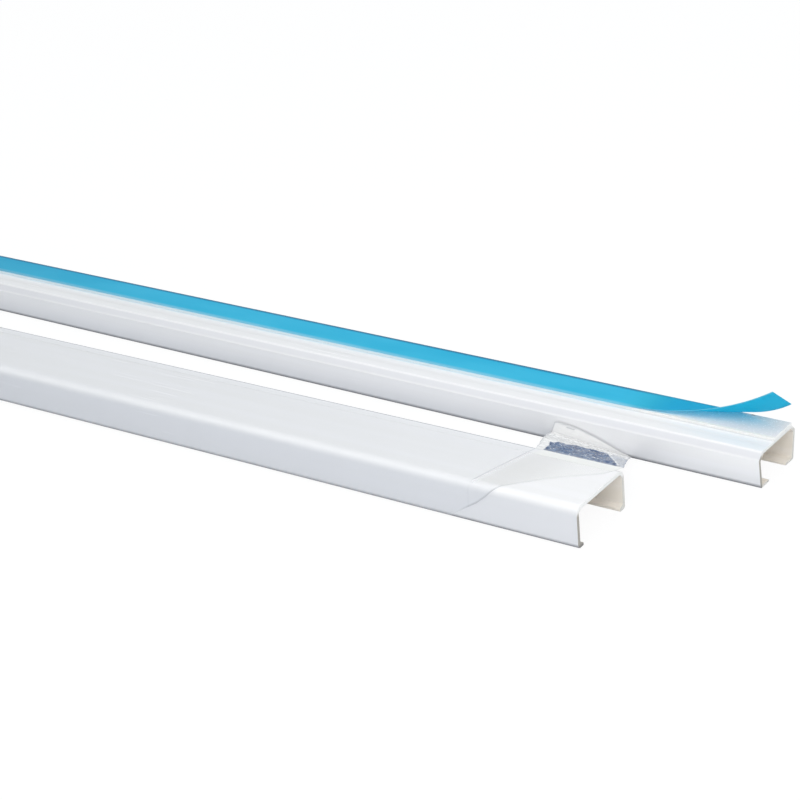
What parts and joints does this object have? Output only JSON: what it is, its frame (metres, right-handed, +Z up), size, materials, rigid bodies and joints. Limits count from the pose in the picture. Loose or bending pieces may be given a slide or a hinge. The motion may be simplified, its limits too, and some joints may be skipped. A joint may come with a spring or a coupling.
{
  "type": "cord cover raceway",
  "caption": "Stick-on cord raceway: a lipped base channel with foam tape and a part-peeled blue liner, beside its clip-on cover in clear protective film.",
  "frame": {"origin": "centre of the whole set's bounding box, on the floor it lies on", "axes": "+X along the cover channel towards the near ends, where the liner and the film are peeled; +Y from the cover towards the base; +Z up"},
  "size_m": [0.434, 0.0932, 0.028],
  "materials": {
    "base_pvc": "glossy extruded white",
    "cover_pvc": "glossy extruded white",
    "foam_tape": "white closed-cell foam with adhesive",
    "blue_liner": "satin blue film",
    "clear_film": "clear crinkled film"
  },
  "bodies": {
    "root": {"base_channel": "base_pvc", "cover_channel": "cover_pvc", "adhesive_tape": "foam_tape", "release_liner": "blue_liner", "protective_film": "clear_film"}
  },
  "joints": []
}
